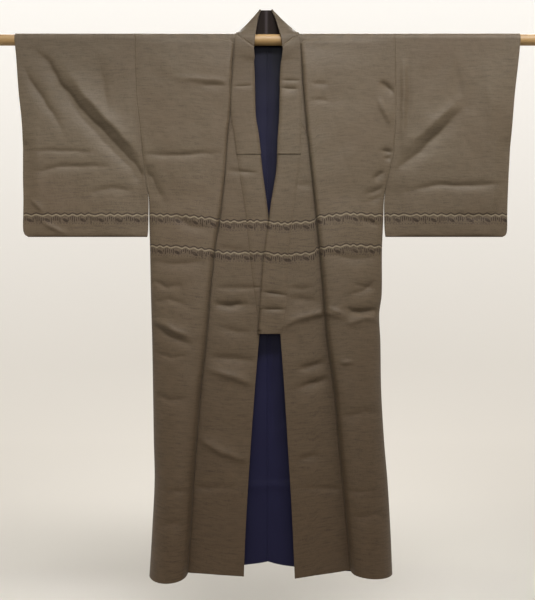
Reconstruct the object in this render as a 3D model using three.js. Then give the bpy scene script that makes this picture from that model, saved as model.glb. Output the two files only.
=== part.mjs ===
// A man's lined kimono, hung by its sleeves on a round wooden pole.
// Millimetres, +Z up. The front of the garment faces -Y and the origin is on the pole's axis at mid garment.
// Left and right are the wearer's own: the left side is on +X, and the left front laps over the right one.
import * as THREE from 'three';

// Pole
const poleRadius = 14;
const poleLength = 1500;
const poleSides = 32;

// Walls and gaps
const clothWall = 1.6;
const collarWall = 2.4;
const overCollarWall = 1.2;
const liningWall = 1;
const seamGap = 0.3;
const poleGap = 0.6;

// Cut of the body and the sleeves
const frontWidth = 250;
const backHalfNeck = 75;
const hemDrop = 1330;
const armholeDrop = 400;
const sleeveDrop = 495;
const kensakiDrop = 200;
const kensakiLength = 50;
const hemLining = 2;
const hemPeak = 35;
const liningTop = 9;
const liningShort = 2;

// Pleat of each front: how far its hidden layers lie apart, and how round its edges are
const hiddenStep = 6.4;
const outerStep = 4;
const foldRound = 3;
const foldCover = 2;
const foldStart = 8;
const foldSet = 80;

// Collar
const collarLap = 6;
const collarEnd = 739;
const overCollarEnd = 289;
const collarSeat = clothWall / 2 + seamGap + collarWall / 2;

// Radius at which the middle of a wall runs round the pole
const clothRound = poleRadius + poleGap + clothWall / 2;
const collarRound = clothRound + collarSeat;
const pinched = clothWall / 2 + seamGap / 2;

// Each front, by level: its side seam, the pleat's edge and how far it rolls forward between them
const rightFront = [
  { z: 0, side: 331, fold: 84, roll: 0 },
  { z: -60, side: 331, fold: 87.5, roll: 0 },
  { z: -150, side: 327.5, fold: 91, roll: 0 },
  { z: -200, side: 322, fold: 94.5, roll: 1 },
  { z: -250, side: 317, fold: 100, roll: 2 },
  { z: -300, side: 312.5, fold: 103, roll: 3 },
  { z: -350, side: 306, fold: 107, roll: 5 },
  { z: -400, side: 298.2, fold: 112.5, roll: 8 },
  { z: -450, side: 297, fold: 118.5, roll: 12 },
  { z: -530, side: 295, fold: 131, roll: 17 },
  { z: -640, side: 293, fold: 142.5, roll: 24 },
  { z: -760, side: 290, fold: 153, roll: 31 },
  { z: -880, side: 288, fold: 166, roll: 38 },
  { z: -1010, side: 286, fold: 176, roll: 44 },
  { z: -1110, side: 284, fold: 184, roll: 49 },
  { z: -1240, side: 291, fold: 192, roll: 54 },
  { z: -1330, side: 297, fold: 199.5, roll: 56 },
];
const leftFront = [
  { z: 0, side: 318, fold: 83, roll: 0 },
  { z: -60, side: 319.5, fold: 86, roll: 0 },
  { z: -150, side: 321, fold: 91.5, roll: 0 },
  { z: -200, side: 320, fold: 96, roll: 1 },
  { z: -250, side: 318.5, fold: 101, roll: 2 },
  { z: -300, side: 313, fold: 106.5, roll: 3 },
  { z: -350, side: 301.5, fold: 112, roll: 5 },
  { z: -400, side: 292.7, fold: 117, roll: 8 },
  { z: -450, side: 290.8, fold: 122, roll: 12 },
  { z: -530, side: 287.5, fold: 129.5, roll: 17 },
  { z: -640, side: 287, fold: 139.5, roll: 24 },
  { z: -690, side: 281, fold: 143.5, roll: 27 },
  { z: -760, side: 284, fold: 150, roll: 31 },
  { z: -880, side: 286, fold: 166.5, roll: 37 },
  { z: -1010, side: 293.5, fold: 178, roll: 42 },
  { z: -1110, side: 302, fold: 187.5, roll: 46 },
  { z: -1240, side: 310, fold: 200, roll: 48 },
  { z: -1330, side: 314, fold: 207.5, roll: 50 },
];

// Hanging collar, by level: the edge sewn to the front and the free edge, outward from the centre line
const rightCollar = [
  { z: -60, seam: 83.5, free: 34 },
  { z: -105, seam: 88, free: 33 },
  { z: -150, seam: 91, free: 32 },
  { z: -195, seam: 90.5, free: 30.5 },
  { z: -245, seam: 83, free: 22.5 },
  { z: -290, seam: 77, free: 17.5 },
  { z: -340, seam: 70, free: 12 },
  { z: -410, seam: 59, free: 2.5 },
  { z: -455, seam: 53, free: -3.5 },
  { z: -530, seam: 45.5, free: -12.5 },
  { z: -605, seam: 37, free: -20 },
  { z: -670, seam: 28.5, free: -27 },
  { z: -739, seam: 20, free: -34 },
];
const leftCollar = [
  { z: -60, seam: 83, free: 34 },
  { z: -105, seam: 83, free: 32 },
  { z: -150, seam: 83, free: 31.5 },
  { z: -195, seam: 83, free: 30.5 },
  { z: -245, seam: 83, free: 27 },
  { z: -290, seam: 82, free: 25 },
  { z: -340, seam: 77, free: 21 },
  { z: -410, seam: 68, free: 9.5 },
  { z: -455, seam: 62, free: 3.5 },
  { z: -530, seam: 53.5, free: -7 },
  { z: -605, seam: 49.5, free: -14.5 },
  { z: -655, seam: 47.5, free: -18.5 },
  { z: -739, seam: 34, free: -25 },
];

// Front edge of each overlap panel below the collar, by level
const rightEdge = [
  { z: -739, edge: 20 },
  { z: -870, edge: 31 },
  { z: -1065, edge: 45 },
  { z: -1245, edge: 56 },
  { z: -1342, edge: 59.5 },
];
const leftEdge = [
  { z: -739, edge: 32 },
  { z: -862, edge: 41 },
  { z: -1040, edge: 52 },
  { z: -1220, edge: 63 },
  { z: -1349, edge: 69 },
];

// Outer and inner edge of each sleeve, by level
const rightSleeve = [
  { z: 0, cuff: 633, arm: 331 },
  { z: -50, cuff: 628.5, arm: 331 },
  { z: -134, cuff: 623, arm: 328 },
  { z: -209, cuff: 616, arm: 322 },
  { z: -294, cuff: 615, arm: 313 },
  { z: -350, cuff: 615, arm: 306 },
  { z: -400, cuff: 614, arm: 299.5 },
  { z: -441, cuff: 614.5, arm: 299.4 },
  { z: -478, cuff: 614.5, arm: 300.4 },
  { z: -491, cuff: 609.5, arm: 301.6 },
  { z: -495, cuff: 602, arm: 302.6 },
];
const leftSleeve = [
  { z: 0, cuff: 633, arm: 318 },
  { z: -50, cuff: 628.5, arm: 319 },
  { z: -141, cuff: 619, arm: 321 },
  { z: -243, cuff: 612, arm: 319 },
  { z: -329, cuff: 607, arm: 306 },
  { z: -350, cuff: 606, arm: 301.5 },
  { z: -400, cuff: 604, arm: 294 },
  { z: -441, cuff: 603, arm: 293.4 },
  { z: -478, cuff: 602.5, arm: 294.6 },
  { z: -491, cuff: 599, arm: 296 },
  { z: -495, cuff: 592, arm: 297 },
];

// Half the depth between front and back cloth, by level: at the armhole and side seam, in the
// middle of the sleeve and at the cuff, whose lower part is sewn shut
const depths = [
  { z: 0, arm: clothRound, middle: clothRound, cuff: clothRound },
  { z: -50, arm: 14.5, middle: 14.6, cuff: 14.6 },
  { z: -100, arm: 13.4, middle: 13.6, cuff: 13.4 },
  { z: -200, arm: 11, middle: 11.6, cuff: 10 },
  { z: -240, arm: 10, middle: 10.8, cuff: 6 },
  { z: -270, arm: 9.2, middle: 10.2, cuff: pinched },
  { z: -300, arm: 8.4, middle: 9.6, cuff: pinched },
  { z: -350, arm: 6, middle: 8.6, cuff: pinched },
  { z: -400, arm: pinched, middle: 7.6, cuff: pinched },
  { z: -450, arm: pinched, middle: 6.4, cuff: pinched },
  { z: -495, arm: pinched, middle: 3.6, cuff: pinched },
];

// Depth of the side seam, and of the inner layer of each front, by level
const planes = [
  { z: 0, seam: 0, under: -clothRound, over: -clothRound, back: clothRound },
  { z: -150, seam: 0, under: -13.6, over: -16.4, back: clothRound },
  { z: -300, seam: 0, under: -12, over: -17.2, back: 15 },
  { z: -450, seam: 0, under: -12, over: -17.2, back: 15 },
  { z: -800, seam: 5, under: -12, over: -17.2, back: 15 },
  { z: -1350, seam: 8, under: -11, over: -16, back: 15 },
];

// Largest folds that cross the cloth: a soft trough, or a ridge where the depth is negative
const folds = [
  { x0: -577, z0: -29, x1: -322, z1: -340, width: 15, depth: 7 },
  { x0: -612, z0: -74, x1: -514, z1: -234, width: 12, depth: 4 },
  { x0: -520, z0: -60, x1: -380, z1: -236, width: 16, depth: -3 },
  { x0: 493, z0: -171, x1: 325, z1: -328, width: 13, depth: 6 },
  { x0: 452, z0: -150, x1: 352, z1: -250, width: 14, depth: -3 },
  { x0: -300, z0: -346, x1: -262, z1: -400, width: 14, depth: 4 },
  { x0: 193, z0: -679, x1: 272, z1: -674, width: 10, depth: 4 },
  { x0: 150, z0: -712, x1: 272, z1: -706, width: 12, depth: -3 },
];

// Both sides of the garment, with what differs between them
const sides = {
  right: {
    sign: -1,
    front: rightFront,
    collar: rightCollar,
    edge: rightEdge,
    sleeve: rightSleeve,
    plane: 'under',
    hem: { fold: -7, roll: -7, side: -17, edge: -17, back: 8, peak: 8 },
    neckTop: 19.3,
    neckTurn: 34,
  },
  left: {
    sign: 1,
    front: leftFront,
    collar: leftCollar,
    edge: leftEdge,
    sleeve: leftSleeve,
    plane: 'over',
    hem: { fold: 1, roll: -3, side: -12, edge: -21, back: 3, peak: 14 },
    neckTop: 12.2,
    neckTurn: 38,
  },
};

// Levels of the rows of cloth, which neighbouring pieces share along their seams
const armLevels = [0, -50, -100, -150, -200, -250, -300, -350, -400];
const lowerSteps = 15;
const backSteps = 5;
const roundSteps = 8;
const neckRows = 2;
const neckColumns = 2;
const rollColumns = 8;
const pleatColumns = 6;
const lastFront = pleatColumns + rollColumns;

// Materials
function cloth(colour, roughness) {
  return new THREE.MeshStandardMaterial({ color: colour, roughness, metalness: 0, side: THREE.DoubleSide });
}
const silk = cloth('#665b4b', 0.62);
const liningSilk = cloth('#262642', 0.55);
const facingSilk = cloth('#231c18', 0.7);
const pine = new THREE.MeshStandardMaterial({ color: '#d6af78', roughness: 0.5, metalness: 0 });

// Plain helpers
function mix(a, b, t) {
  return a + (b - a) * t;
}

function ease(t) {
  const c = Math.min(1, Math.max(0, t));
  return c * c * (3 - 2 * c);
}

// The value of a table's column at a level, on a smooth curve through its rows
function at(rows, column, z) {
  const last = rows.length - 1;
  if (z >= rows[0].z) return rows[0][column];
  if (z <= rows[last].z) return rows[last][column];
  const k = rows.findIndex((row) => row.z <= z) - 1;
  const slope = (i) => {
    const a = rows[Math.max(0, i - 1)];
    const b = rows[Math.min(last, i + 1)];
    return (b[column] - a[column]) / (b.z - a.z);
  };
  const span = rows[k + 1].z - rows[k].z;
  const t = (z - rows[k].z) / span;
  const rise = t * t * (3 - 2 * t);
  const tangents = slope(k) * t * (1 - t) * (1 - t) - slope(k + 1) * t * t * (1 - t);
  return mix(rows[k][column], rows[k + 1][column], rise) + tangents * span;
}

// How far the folds push a point of the cloth back, away from the front
function foldDepth(x, z) {
  let push = 0;
  for (const f of folds) {
    const dx = f.x1 - f.x0;
    const dz = f.z1 - f.z0;
    const along = ((x - f.x0) * dx + (z - f.z0) * dz) / (dx * dx + dz * dz);
    const t = Math.min(1, Math.max(0, along));
    const off = Math.hypot(x - f.x0 - t * dx, z - f.z0 - t * dz) / f.width;
    const fade = Math.sin(Math.PI * Math.min(0.95, Math.max(0.05, t)));
    push += f.depth * fade * Math.exp(-off * off);
  }
  return push;
}

// Corners of a cell of a grid of points, grid[row][column], or null where there is no cloth
function cellOf(grid, i, j, loop) {
  const rows = grid.length;
  if (!loop && (i < 0 || i >= rows - 1)) return null;
  if (j < 0 || j >= grid[0].length - 1) return null;
  const r = (i + rows) % rows;
  const next = (r + 1) % rows;
  const corners = [[r, j], [next, j], [next, j + 1], [r, j + 1]];
  return corners.every(([a, b]) => grid[a][b]) ? corners : null;
}

// Cells of a grid, and at each point the mean direction of the cells that meet there
function surfaceOf(grid, loop) {
  const cells = [];
  const normals = grid.map((row) => row.map(() => new THREE.Vector3()));
  for (let i = 0; i < grid.length; i += 1) {
    for (let j = 0; j < grid[0].length - 1; j += 1) {
      const corners = cellOf(grid, i, j, loop);
      if (corners) {
        const [a, b, c, d] = corners.map(([r, k]) => grid[r][k]);
        const across = new THREE.Vector3().subVectors(c, a);
        const normal = across.cross(new THREE.Vector3().subVectors(d, b)).normalize();
        corners.forEach(([r, k]) => normals[r][k].add(normal));
        cells.push([i, j, corners]);
      }
    }
  }
  normals.forEach((row) => row.forEach((normal) => normal.normalize()));
  return { cells, normals };
}

// The points of a layer that lies on a sheet, moved out along the sheet's normals
function movedOut(grid, distance) {
  const { normals } = surfaceOf(grid, false);
  return grid.map((row, i) => row.map((point, j) => point.clone().addScaledVector(normals[i][j], distance)));
}

// A closed wall of even thickness on a grid of points
function wall(name, grid, thickness, material, loop = false) {
  const { cells, normals } = surfaceOf(grid, loop);
  const positions = [];
  const number = grid.map((row) => row.map(() => -1));
  grid.forEach((row, r) => row.forEach((point, k) => {
    if (!point || normals[r][k].lengthSq() === 0) return;
    number[r][k] = positions.length / 3;
    const step = normals[r][k].clone().multiplyScalar(thickness / 2);
    positions.push(point.x + step.x, point.y + step.y, point.z + step.z);
    positions.push(point.x - step.x, point.y - step.y, point.z - step.z);
  }));
  const index = [];
  for (const [i, j, corners] of cells) {
    const [a, b, c, d] = corners.map(([r, k]) => number[r][k]);
    index.push(a, b, c, a, c, d);
    index.push(a + 1, c + 1, b + 1, a + 1, d + 1, c + 1);
    const edges = [[a, b, i, j - 1], [b, c, i + 1, j], [c, d, i, j + 1], [d, a, i - 1, j]];
    for (const [from, to, r, k] of edges) {
      if (!cellOf(grid, r, k, loop)) index.push(to, from, from + 1, to, from + 1, to + 1);
    }
  }
  const geometry = new THREE.BufferGeometry();
  geometry.setAttribute('position', new THREE.Float32BufferAttribute(positions, 3));
  geometry.setIndex(index);
  turnOutward(geometry);
  geometry.computeVertexNormals();
  const mesh = new THREE.Mesh(geometry, material);
  mesh.name = name;
  return mesh;
}

// Reverses the triangles of a closed shape whose faces look inward
function turnOutward(geometry) {
  const p = geometry.getAttribute('position');
  const index = geometry.getIndex().array;
  const [a, b, c] = [new THREE.Vector3(), new THREE.Vector3(), new THREE.Vector3()];
  let volume = 0;
  for (let i = 0; i < index.length; i += 3) {
    a.fromBufferAttribute(p, index[i]);
    b.fromBufferAttribute(p, index[i + 1]);
    c.fromBufferAttribute(p, index[i + 2]);
    volume += a.dot(b.cross(c));
  }
  if (volume > 0) return;
  for (let i = 0; i < index.length; i += 3) {
    const first = index[i];
    index[i] = index[i + 1];
    index[i + 1] = first;
  }
}

// Body panels
// One length of cloth a side, from the back hem over the pole to the front hem, with no shoulder seam.

// Inner edge of the front: it lies under the collar, and below the overlap panel's tip on that panel's seam
function innerEdge(s, z) {
  const high = (level) => at(s.collar, 'seam', level) - collarLap;
  const low = (level) => at(s.front, 'fold', level) + foldCover;
  if (z >= -kensakiDrop) return high(z) - ease((z + 60) / 60) * foldRound;
  const end = -kensakiDrop - kensakiLength;
  if (z <= end) return low(z);
  return mix(high(-kensakiDrop), low(end), (-kensakiDrop - z) / kensakiLength);
}

// Points of the rolled outer layer, from the pleat's edge to the side seam
function outerLayer(s, z) {
  const side = at(s.front, 'side', z) - seamGap;
  const fold = at(s.front, 'fold', z) + foldRound;
  const near = at(planes, s.plane, z) - hiddenStep - outerStep;
  const far = at(planes, 'seam', z) - at(depths, 'arm', z);
  const points = [];
  for (let k = 0; k <= rollColumns; k += 1) {
    const turn = (Math.PI * k) / rollColumns;
    const t = (1 - Math.cos(turn)) / 2;
    const y = mix(near, far, t) - at(s.front, 'roll', z) * Math.sin(turn);
    points.push({ u: mix(fold, side, t), y });
  }
  return points;
}

function lengthOf(points) {
  let sum = 0;
  for (let k = 1; k < points.length; k += 1) {
    sum += Math.hypot(points[k].u - points[k - 1].u, points[k].y - points[k - 1].y);
  }
  return sum;
}

// Section of a front at a level, from its inner edge round the pleat to the side seam.
// The cloth that the roll doesn't take up lies in the pleat.
function frontSection(s, z) {
  const inner = innerEdge(s, z);
  const fold = at(s.front, 'fold', z);
  const plane = at(planes, s.plane, z);
  const outer = outerLayer(s, z);
  const spare = (frontWidth - lengthOf(outer) - (fold - inner)) / 2;
  const seam = z > -kensakiDrop ? at(s.collar, 'seam', z) + foldRound / 2 : inner + foldRound / 2;
  const reach = Math.max(spare, seam - fold + foldRound, foldRound);
  const bend = Math.min(foldRound, reach / 2);
  const pleat = [
    { u: inner, y: plane },
    { u: Math.max(seam, fold + reach - foldRound), y: plane },
    { u: fold + reach, y: plane - hiddenStep / 2 },
    { u: fold + reach - bend, y: plane - hiddenStep + 0.5 },
    { u: fold + bend, y: plane - hiddenStep - 0.5 },
    { u: fold, y: plane - hiddenStep - outerStep / 2 },
  ];
  const section = pleat.concat(outer);
  const set = ease((-z - foldStart) / (foldSet - foldStart));
  const side = outer[outer.length - 1].u;
  const flatStart = at(s.collar, 'seam', z) + foldRound / 2;
  return section.map((point, k) => {
    const flat = k === 0 ? inner : mix(flatStart, side, ((k - 1) / (section.length - 2)) ** 1.6);
    const hang = mix(at(planes, s.plane, z), outer[outer.length - 1].y, ease((flat - inner) / (side - inner)));
    return { u: mix(flat, point.u, set), y: mix(hang, point.y, set) };
  });
}

// Depth of the back panel: it hangs straight from the pole and draws forward to the side seams
function backDepth(s, u, z) {
  const side = at(s.front, 'side', z);
  const centre = at(planes, 'back', z);
  const edge = at(planes, 'seam', z) + at(depths, 'arm', z);
  return mix(centre, edge, ease((u / side - 0.5) / 0.5));
}

// Drop of the back hem, which rises in a small peak at the centre seam
function backHem(s, u, t) {
  return mix(s.hem.back, s.hem.side, ease(t)) + s.hem.peak * Math.exp(-u / hemPeak);
}

function backPoint(s, t, z) {
  const u = mix(seamGap / 2, at(s.front, 'side', z) - seamGap, t);
  const low = ease((-z - 1100) / (hemDrop - 1100));
  return new THREE.Vector3(s.sign * u, backDepth(s, u, z), z + low * backHem(s, u, t));
}

function frontPoint(s, section, k, z) {
  const t = Math.max(0, (k - pleatColumns) / rollColumns);
  const hem = mix(s.hem.fold, s.hem.side, (1 - Math.cos(Math.PI * t)) / 2) + s.hem.roll * Math.sin(Math.PI * t);
  const low = ease((-z - 1100) / (hemDrop - 1100));
  const x = s.sign * section[k].u;
  const push = k >= pleatColumns && k < lastFront ? foldDepth(x, z) : 0;
  return new THREE.Vector3(x, section[k].y + push, z + low * hem);
}

function lowerLevels(steps) {
  const levels = [];
  for (let k = 1; k <= steps; k += 1) levels.push(mix(-armholeDrop, -hemDrop, k / steps));
  return levels;
}

// Columns of a panel's back, as shares of its width: the neck's first, then those that go over to the front
function backShares(s) {
  const neck = backHalfNeck / at(s.front, 'side', 0);
  const shares = [];
  for (let k = 0; k < neckColumns; k += 1) shares.push((neck * k) / neckColumns);
  for (let k = 0; k <= lastFront; k += 1) shares.push(mix(neck, 1, k / lastFront));
  return shares;
}

function body(s, name) {
  const front = frontSection(s, 0);
  const all = backShares(s);
  const grid = [];
  const backLevels = lowerLevels(backSteps).reverse().concat([...armLevels].reverse());
  for (const z of backLevels) grid.push(all.map((t) => backPoint(s, t, z)));
  for (let k = 1; k <= roundSteps; k += 1) {
    const turn = (Math.PI * k) / roundSteps;
    const shift = ease((k - neckRows) / (roundSteps - neckRows));
    grid.push(all.map((t, column) => {
      const part = column - neckColumns;
      if (part < 0 && k > neckRows) return null;
      const back = mix(seamGap / 2, at(s.front, 'side', 0) - seamGap, t);
      const u = part < 0 ? back : mix(back, front[part].u, shift);
      return new THREE.Vector3(s.sign * u, clothRound * Math.cos(turn), clothRound * Math.sin(turn));
    }));
  }
  for (const z of armLevels.slice(1).concat(lowerLevels(lowerSteps))) {
    const section = frontSection(s, z);
    grid.push(all.map((_, column) => {
      const k = column - neckColumns;
      return k < 0 ? null : frontPoint(s, section, k, z);
    }));
  }
  return wall(name, grid, clothWall, silk);
}

// Overlap panels
// A long narrow panel on each front, cut to a point at the top where it runs under the collar.
function okumi(s, name) {
  const tip = -kensakiDrop - 4;
  const levels = [tip].concat(armLevels.slice(5), lowerLevels(lowerSteps));
  const columns = 4;
  const grid = levels.map((z) => {
    const outer = innerEdge(s, z) - seamGap;
    const lap = collarLap * (1 - ease((-z - collarEnd + 45) / 45));
    const inner = z > -collarEnd ? at(s.collar, 'seam', z) - lap : at(s.edge, 'edge', z);
    const low = ease((-z - 1100) / (hemDrop - 1100));
    const row = [];
    for (let k = 0; k <= columns; k += 1) {
      const u = mix(inner, outer, k / columns);
      const hem = mix(s.hem.edge, s.hem.fold, k / columns);
      row.push(new THREE.Vector3(s.sign * u, at(planes, s.plane, z), z + low * hem));
    }
    return row;
  });
  return wall(name, grid, clothWall, silk);
}

// Sleeves
// One length of cloth a side, folded over the pole and sewn along its foot and the lower part of its cuff.
function sleeve(s, name) {
  const shares = [0, 0.03, 0.07, 0.12, 0.19, 0.27, 0.36, 0.45, 0.54, 0.63, 0.72, 0.8, 0.88, 0.94, 1];
  const levels = armLevels.slice(1).concat([-450, -474]);
  const ring = [];
  for (let k = 0; k <= roundSteps; k += 1) ring.push({ turn: (Math.PI * k) / roundSteps });
  for (const z of levels) ring.push({ z, face: -1 });
  ring.push({ z: -sleeveDrop + 1.5, face: -0.7 });
  ring.push({ z: -sleeveDrop, face: 0 });
  ring.push({ z: -sleeveDrop + 1.5, face: 0.7 });
  for (const z of [...levels].reverse()) ring.push({ z, face: 1 });
  const grid = ring.map((place) => shares.map((t) => {
    const z = place.turn === undefined ? place.z : 0;
    const attached = z >= -350;
    const arm = attached ? at(s.front, 'side', z) : at(s.sleeve, 'arm', z);
    const u = mix(at(s.sleeve, 'cuff', z), arm + seamGap, t);
    if (place.turn !== undefined) {
      const high = clothRound * Math.sin(place.turn);
      return new THREE.Vector3(s.sign * u, clothRound * Math.cos(place.turn), high);
    }
    const cuff = ease(1 - t / 0.14);
    const inner = ease((t - 0.72) / 0.28);
    const middle = at(depths, 'middle', z);
    const half = middle + cuff * (at(depths, 'cuff', z) - middle) + inner * (at(depths, 'arm', z) - middle);
    const x = s.sign * u;
    const push = place.face === -1 && t < 1 ? foldDepth(x, z) * (1 - cuff) : 0;
    return new THREE.Vector3(x, place.face * half + Math.min(push, half - pinched), z);
  }));
  return wall(name, grid, clothWall, silk, true);
}

// Collar
// One long band, stood up behind the pole at the neck, turned at each shoulder and hung down each front.
// A row of the band runs from its sewn edge to its free edge.
function neckBand(s) {
  const low = [collarRound * Math.cos(Math.PI / 6), collarRound * Math.sin(Math.PI / 6)];
  const top = s.neckTop;
  const turn = s.neckTurn;
  return [
    { sewn: [34, ...low], free: [top - 7, 19.6, 80] },
    { sewn: [64, ...low], free: [top - 1.5, 19.6, 80] },
    { sewn: [73, 14.5, 12.5], free: [top + 1.5, 17.5, 81.5] },
    { sewn: [77, 10, 16.6], free: [top + 1, 14, 78.5] },
    { sewn: [78.5, 3.7, 19.2], free: [mix(top, turn, 0.3), 6, 55] },
    { sewn: [79.5, -3.7, 19.2], free: [mix(top, turn, 0.6), -9, 26] },
    { sewn: [80.5, -11.5, 16.5], free: [mix(top, turn, 0.85), -21, 0] },
    { sewn: [81, -16.8, 10.5], free: [turn, -24.5, -26] },
    { sewn: [81.5, -19.4, -6], free: [turn - 1, -24, -36] },
    { sewn: [82, -19, -30], free: [turn - 2, -22.5, -48] },
  ];
}

function onSide(s, p) {
  return new THREE.Vector3(s.sign * p[0], p[1], p[2]);
}

// Both edges of the band from mid back down one front
function bandEdges(s) {
  const edges = neckBand(s).map((row) => [onSide(s, row.sewn), onSide(s, row.free)]);
  for (const row of s.collar) {
    const y = at(planes, s.plane, row.z) - collarSeat;
    const lead = 1.5 * (1 - ease((-row.z - 60) / 200));
    edges.push([new THREE.Vector3(s.sign * row.seam, y, row.z), new THREE.Vector3(s.sign * row.free, y - lead, row.z)]);
  }
  return edges;
}

// The whole band as rows of points, from the end of the right front round the neck to the left one
const bandColumns = 3;
function bandRows() {
  const right = bandEdges(sides.right).reverse();
  const left = bandEdges(sides.left);
  const backTop = (sides.left.neckTop - sides.right.neckTop) / 2;
  const low = new THREE.Vector3(0, collarRound * Math.cos(Math.PI / 6), collarRound * Math.sin(Math.PI / 6));
  const centre = [low, new THREE.Vector3(backTop, 19.8, 80)];
  return right.concat([centre], left).map(([sewn, free]) => {
    const row = [];
    for (let k = 0; k <= bandColumns; k += 1) {
      const point = new THREE.Vector3().lerpVectors(sewn, free, k / bandColumns);
      row.push(clearOfPole(point));
    }
    return row;
  });
}

// Moves a point of the band out from the pole's axis until the band clears the pole
function clearOfPole(point) {
  const least = collarRound + poleGap;
  const off = Math.hypot(point.y, point.z);
  if (off >= least) return point;
  return new THREE.Vector3(point.x, (point.y * least) / off, (point.z * least) / off);
}

function collar() {
  return wall('collar', bandRows(), collarWall, silk);
}

// The over-collar lies on the band's outer face, round the neck to a little below the shoulders
function overCollar() {
  const rows = bandRows().filter((row) => row[0].z >= -overCollarEnd - 2);
  const out = -(collarWall / 2 + seamGap + overCollarWall / 2);
  return wall('over_collar', movedOut(rows, out), overCollarWall, silk);
}

// The neck facing lines the stood-up part of the band, where its inner face shows
function neckFacing() {
  const rows = bandRows();
  const centre = (rows.length - 1) / 2;
  const out = collarWall / 2 + seamGap + liningWall / 2;
  const behind = movedOut(rows, out).slice(centre - 2, centre + 3);
  return wall('neck_facing', behind, liningWall, facingSilk);
}

// Lining
// The back is lined in navy silk, a hair longer than the cloth at the hem.
function lining(s, name) {
  const shares = backShares(s).slice(0, -liningShort);
  const levels = [-liningTop].concat(armLevels.slice(1), lowerLevels(backSteps));
  const panel = levels.map((z) => shares.map((t) => backPoint(s, t, z)));
  const forward = s.sign * (clothWall / 2 + seamGap + liningWall / 2);
  const rows = movedOut(panel, forward);
  rows[rows.length - 1].forEach((point) => {
    point.z -= hemLining;
  });
  return wall(name, rows, liningWall, liningSilk);
}

// Pole
function pole() {
  const geometry = new THREE.CylinderGeometry(poleRadius, poleRadius, poleLength, poleSides);
  geometry.rotateZ(Math.PI / 2);
  const mesh = new THREE.Mesh(geometry, pine);
  mesh.name = 'pole';
  return mesh;
}

const kimono = new THREE.Group();
kimono.add(
  pole(),
  body(sides.right, 'body_right'),
  body(sides.left, 'body_left'),
  sleeve(sides.right, 'sleeve_right'),
  sleeve(sides.left, 'sleeve_left'),
  okumi(sides.right, 'okumi_right'),
  okumi(sides.left, 'okumi_left'),
  collar(),
  overCollar(),
  neckFacing(),
  lining(sides.right, 'lining_right'),
  lining(sides.left, 'lining_left'),
);

export default kimono;
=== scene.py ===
import math

import bpy
import numpy as np
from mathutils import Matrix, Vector, noise


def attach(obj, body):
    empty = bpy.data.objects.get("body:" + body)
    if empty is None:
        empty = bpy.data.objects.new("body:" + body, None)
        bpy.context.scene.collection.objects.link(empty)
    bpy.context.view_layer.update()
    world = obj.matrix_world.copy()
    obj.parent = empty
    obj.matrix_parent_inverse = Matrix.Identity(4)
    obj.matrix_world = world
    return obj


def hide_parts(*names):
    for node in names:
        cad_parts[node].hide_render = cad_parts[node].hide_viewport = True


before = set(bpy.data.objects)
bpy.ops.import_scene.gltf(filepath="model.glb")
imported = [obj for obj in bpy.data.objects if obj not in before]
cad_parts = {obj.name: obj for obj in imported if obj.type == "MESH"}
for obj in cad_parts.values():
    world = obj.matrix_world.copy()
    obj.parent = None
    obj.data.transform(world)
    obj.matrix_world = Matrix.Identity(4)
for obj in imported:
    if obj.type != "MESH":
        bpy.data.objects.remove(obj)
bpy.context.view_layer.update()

# Body panels
# Two lengths of olive slub silk, lined in navy, each one piece from the back hem over the pole to the
# front hem. The front's spare width lies in a pleat whose edge runs from the neck to the hem. Left and
# right are the wearer's own, so the left side is on +X. Sizes are in millimetres, and MM makes metres.
MM = 0.001
POLE_RADIUS = 14
CLOTH = 1.6
SEAM_GAP = 0.3
SEWN = 0.06
CLOTH_ROUND = POLE_RADIUS + 0.6 + CLOTH / 2
PINCHED = CLOTH / 2 + SEAM_GAP / 2
HEM_DROP = 1330
ARMHOLE_DROP = 400
KENSAKI_DROP = 200
KENSAKI_LENGTH = 50
FRONT_WIDTH = 250
HALF_NECK = 74
HIDDEN_STEP = 3.4
OUTER_STEP = 14
STEP_AT_POLE = 0.3
STEP_RUN = 90
FOLD_ROUND = 4
EDGE_RUN = 11
FOLD_COVER = 2
FOLD_START = -2
FOLD_SET = 12
COLLAR_LAP = 6
NECK_DRAW = 6
COLLAR_WALL = 2.4
COLLAR_END = 739
COLLAR_SEAT = CLOTH / 2 + SEAM_GAP + COLLAR_WALL / 2
HEM_START = 1100
HEM_PEAK = 35


def table(names, rows):
    """A table of rows by level, as one array for each named column."""
    columns = np.array(rows, float).T
    return dict(zip(names.split(), columns))


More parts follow.
